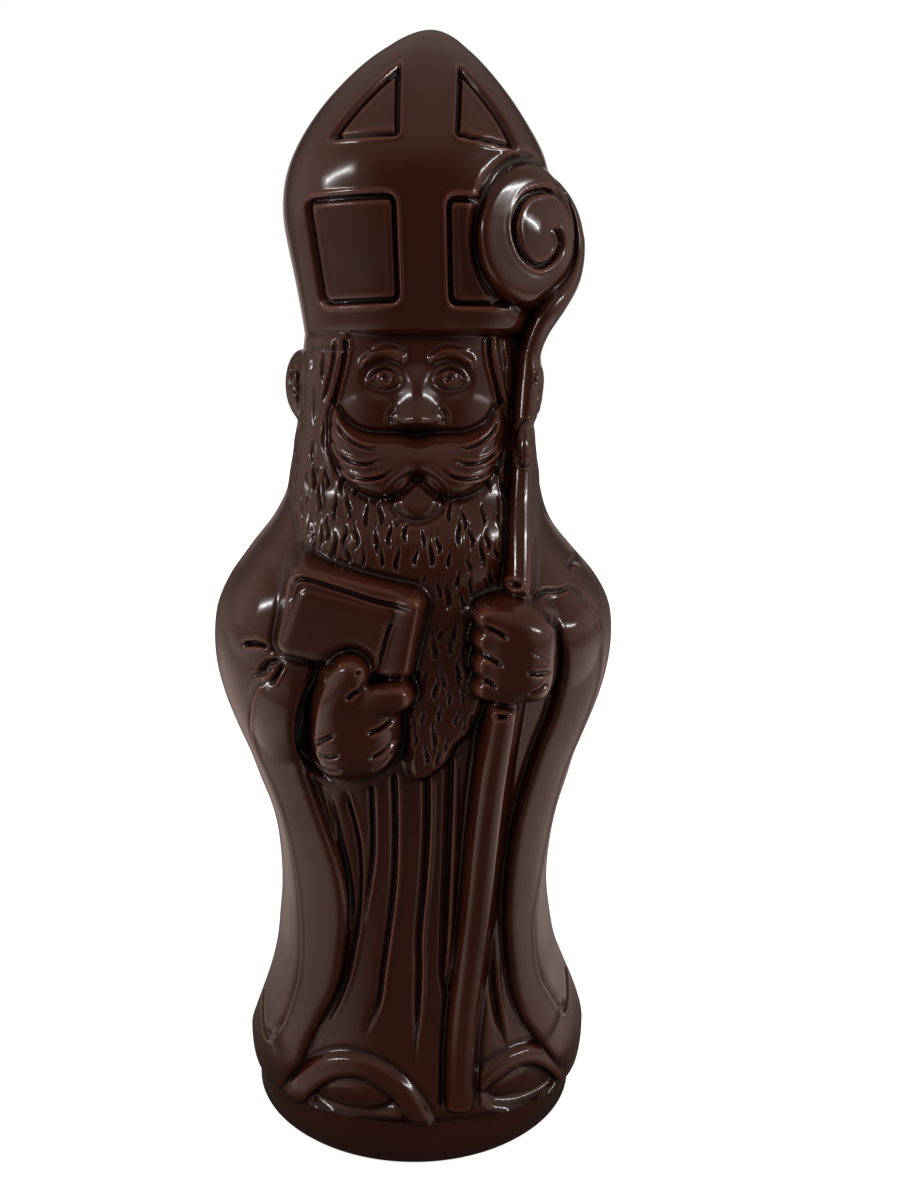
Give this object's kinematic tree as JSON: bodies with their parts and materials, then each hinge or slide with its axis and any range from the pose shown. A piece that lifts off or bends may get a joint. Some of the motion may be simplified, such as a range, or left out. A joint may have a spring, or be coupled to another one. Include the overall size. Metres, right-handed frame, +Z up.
{
  "type": "moulded chocolate bishop figure",
  "caption": "Dark chocolate figure of a bearded bishop with mitre, crozier and closed book, cast in a two-part mould and standing on a round plinth.",
  "frame": {"origin": "middle of the flat foot of the round plinth", "axes": "+Z up through the mitre's point, -Y out of the face and the book, +X towards the crozier"},
  "size_m": [0.1116, 0.1058, 0.3],
  "materials": {
    "dark_chocolate": "tempered dark chocolate with a soft gloss, released from a smooth mould"
  },
  "bodies": {
    "root": {"chocolate_figure": "dark_chocolate"}
  },
  "joints": []
}
